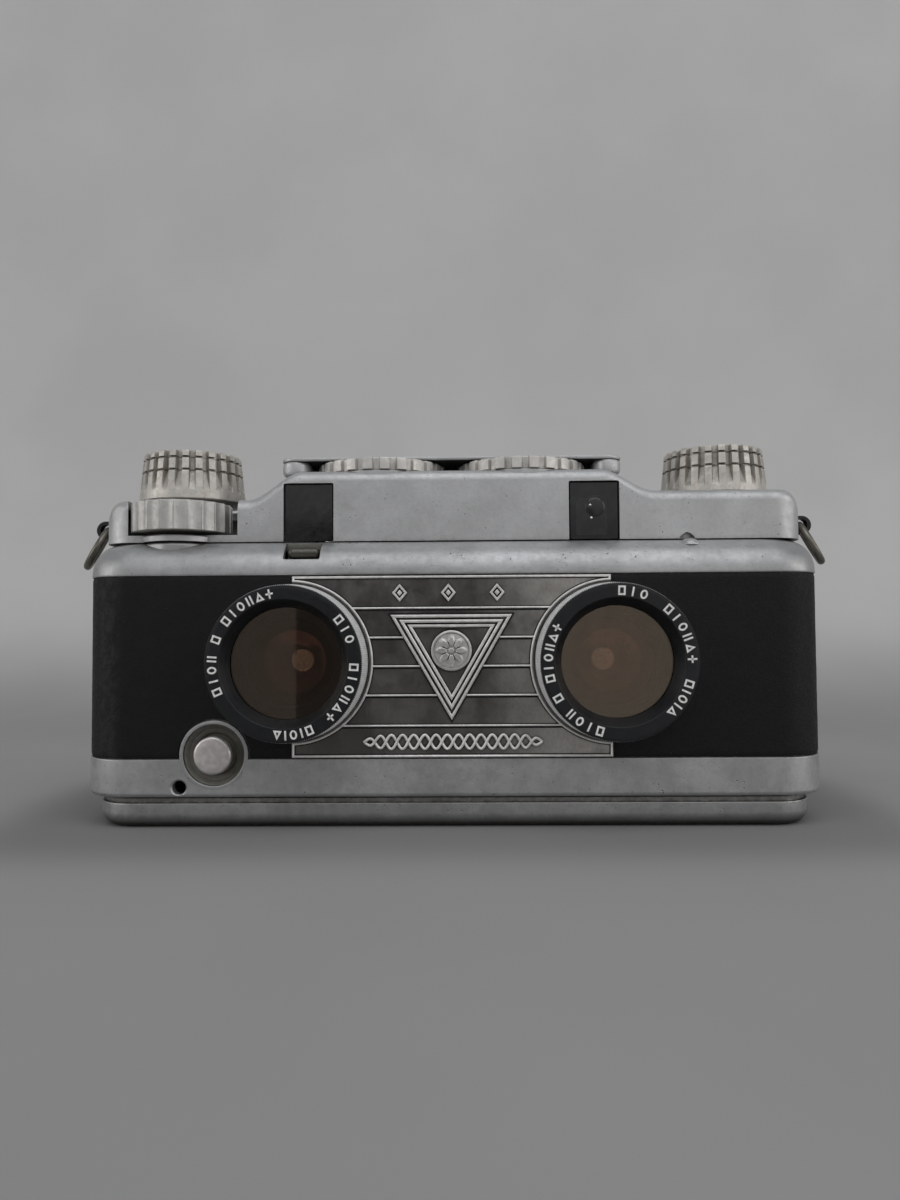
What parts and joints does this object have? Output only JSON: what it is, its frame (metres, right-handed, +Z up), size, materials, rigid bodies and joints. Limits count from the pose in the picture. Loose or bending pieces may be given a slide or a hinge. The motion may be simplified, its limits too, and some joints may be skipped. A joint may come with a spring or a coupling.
{
  "type": "stereo camera",
  "caption": "Compact film stereo camera: twin filtered lenses in a leather-covered cast body, knobs and dials on top, removable back with base.",
  "frame": {"origin": "centre of the bounding box's footprint, on the surface the camera stands on", "axes": "+X to the viewer's right facing the lenses, -Y the way the lenses look, +Z up"},
  "size_m": [0.1782, 0.0516, 0.0862],
  "materials": {
    "satin_casting": "satin",
    "black_leather": "fine grain",
    "pewter": "brushed",
    "bright_trim": "polished",
    "black_enamel": "semi-gloss",
    "amber_glass": "tinted, clear",
    "clear_glass": "polished",
    "dark_glass": "dark",
    "knob_metal": "satin, worn",
    "button_metal": "satin",
    "black_metal": "matt black",
    "ring_steel": "tarnished",
    "brass": "machined",
    "steel": "machined",
    "chrome": "silvered",
    "inner_black": "matt black"
  },
  "bodies": {
    "camera": {"front_shell": "satin_casting", "top_cover": "satin_casting", "leather_left": "black_leather", "leather_right": "black_leather", "nameplate": "pewter", "emblem_frame": "bright_trim", "emblem_medallion": "bright_trim", "button_escutcheon": "steel", "cable_socket": "steel", "dial_bridge": "satin_casting", "viewfinder_window": "dark_glass", "rangefinder_window": "dark_glass", "level_vial": "clear_glass", "strap_lug_left": "black_metal", "strap_lug_right": "black_metal", "light_tunnel_left": "inner_black", "light_tunnel_right": "inner_black", "film_gate": "inner_black", "eyepiece_ring": "black_metal", "eyepiece_lens": "clear_glass", "beam_splitter": "clear_glass", "finder_mirror": "chrome"},
    "back": {"back_cover": "satin_casting", "back_leather": "black_leather", "pressure_plate": "black_metal", "pressure_spring_left": "steel", "pressure_spring_right": "steel", "tripod_bush": "steel"},
    "key_left": {"lock_key_left": "steel"},
    "key_right": {"lock_key_right": "steel"},
    "release": {"shutter_button": "button_metal"},
    "focus": {"focus_wheel": "knob_metal", "focus_shaft": "steel", "focus_cam": "brass"},
    "lens_carriage": {"lens_board": "black_metal", "lens_barrel_left": "black_enamel", "lens_barrel_right": "black_enamel", "lens_front_left": "clear_glass", "lens_front_right": "clear_glass", "lens_rear_left": "clear_glass", "lens_rear_right": "clear_glass", "shutter_housing_left": "black_metal", "shutter_housing_right": "black_metal"},
    "filter_left": {"filter_ring_left": "black_enamel", "filter_glass_left": "amber_glass"},
    "filter_right": {"filter_ring_right": "black_enamel", "filter_glass_right": "amber_glass"},
    "wind": {"wind_knob": "knob_metal", "wind_shaft": "steel", "take_up_spool": "black_metal"},
    "sprocket": {"film_sprocket": "steel"},
    "rewind": {"rewind_knob": "knob_metal", "rewind_shaft": "steel"},
    "speed": {"speed_dial": "knob_metal"},
    "aperture": {"aperture_dial": "knob_metal"},
    "strap_left": {"strap_ring_left": "ring_steel"},
    "strap_right": {"strap_ring_right": "ring_steel"}
  },
  "joints": [
    {"name": "back_slide", "type": "slide", "parent": "camera", "child": "back", "axis": [0, 1, 0], "range_m": [0, 0.045]},
    {"name": "key_left_turn", "type": "hinge", "parent": "back", "child": "key_left", "pos_m": [-0.055, 0, 0.001], "axis": [0, 0, 1], "range_deg": [0, 90]},
    {"name": "key_right_turn", "type": "hinge", "parent": "back", "child": "key_right", "pos_m": [0.055, 0, 0.001], "axis": [0, 0, -1], "range_deg": [0, 90]},
    {"name": "release_press", "type": "slide", "parent": "camera", "child": "release", "axis": [0, 1, 0], "range_m": [0, 0.002], "stiffness_N_per_m": 300, "springref_m": -0.002},
    {"name": "focus_turn", "type": "hinge", "parent": "camera", "child": "focus", "pos_m": [-0.0627, -0.006, 0.0655], "axis": [0, 0, 1], "range_deg": [0, 270]},
    {"name": "lens_focus_slide", "type": "slide", "parent": "camera", "child": "lens_carriage", "axis": [0, -1, 0], "range_m": [0, 0.0015]},
    {"name": "filter_left_pull", "type": "slide", "parent": "lens_carriage", "child": "filter_left", "axis": [0, -1, 0], "range_m": [0, 0.012]},
    {"name": "filter_right_pull", "type": "slide", "parent": "lens_carriage", "child": "filter_right", "axis": [0, -1, 0], "range_m": [0, 0.012]},
    {"name": "wind_turn", "type": "hinge", "parent": "camera", "child": "wind", "pos_m": [-0.0649, 0.0085, 0.075], "axis": [0, 0, 1], "continuous": true},
    {"name": "sprocket_turn", "type": "hinge", "parent": "camera", "child": "sprocket", "pos_m": [0, 0.0099, 0.036], "axis": [0, 0, 1], "continuous": true},
    {"name": "rewind_turn", "type": "hinge", "parent": "camera", "child": "rewind", "pos_m": [0.0649, 0.0085, 0.075], "axis": [0, 0, 1], "continuous": true},
    {"name": "speed_turn", "type": "hinge", "parent": "camera", "child": "speed", "pos_m": [-0.017, 0.0045, 0.0798], "axis": [0, 0, 1], "range_deg": [0, 240]},
    {"name": "aperture_turn", "type": "hinge", "parent": "camera", "child": "aperture", "pos_m": [0.017, 0.0045, 0.0798], "axis": [0, 0, 1], "range_deg": [0, 150]},
    {"name": "strap_left_swing", "type": "hinge", "parent": "camera", "child": "strap_left", "pos_m": [-0.0829, 0.0005, 0.06725], "axis": [0, 1, 0], "range_deg": [-18, 100]},
    {"name": "strap_right_swing", "type": "hinge", "parent": "camera", "child": "strap_right", "pos_m": [0.0829, 0.0005, 0.06725], "axis": [0, -1, 0], "range_deg": [-18, 100]}
  ],
  "couplings": [
    {"joint": "focus_turn", "follows": "lens_focus_slide", "rad_per_m": 3141.6},
    {"joint": "sprocket_turn", "follows": "wind_turn", "ratio": 1}
  ]
}
